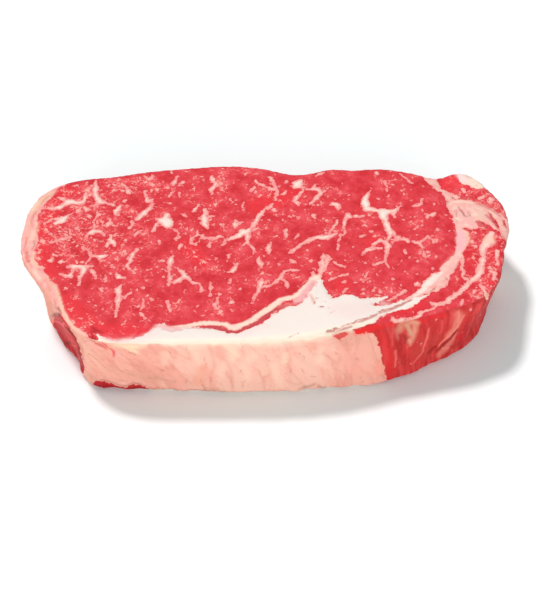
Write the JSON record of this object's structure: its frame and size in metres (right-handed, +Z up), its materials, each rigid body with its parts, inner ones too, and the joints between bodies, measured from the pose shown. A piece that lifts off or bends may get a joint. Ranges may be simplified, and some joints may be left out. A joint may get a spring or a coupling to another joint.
{
  "type": "raw ribeye steak",
  "caption": "Thick slice of raw beef with a marbled eye, a kernel and rim of fat, and a cap muscle wrapped round the end; lies flat on a cut face.",
  "frame": {"origin": "middle of the underside: the centre of the bounding box in plan, at the height of the surface it rests on", "axes": "+Z up, through the thickness of the slice; +X along its length, towards the end with the cap muscle; +Y across its width, away from the long fat edge"},
  "size_m": [0.19, 0.098, 0.03],
  "materials": {
    "raw_beef": "satin"
  },
  "bodies": {
    "root": {"steak": "raw_beef"}
  },
  "joints": []
}
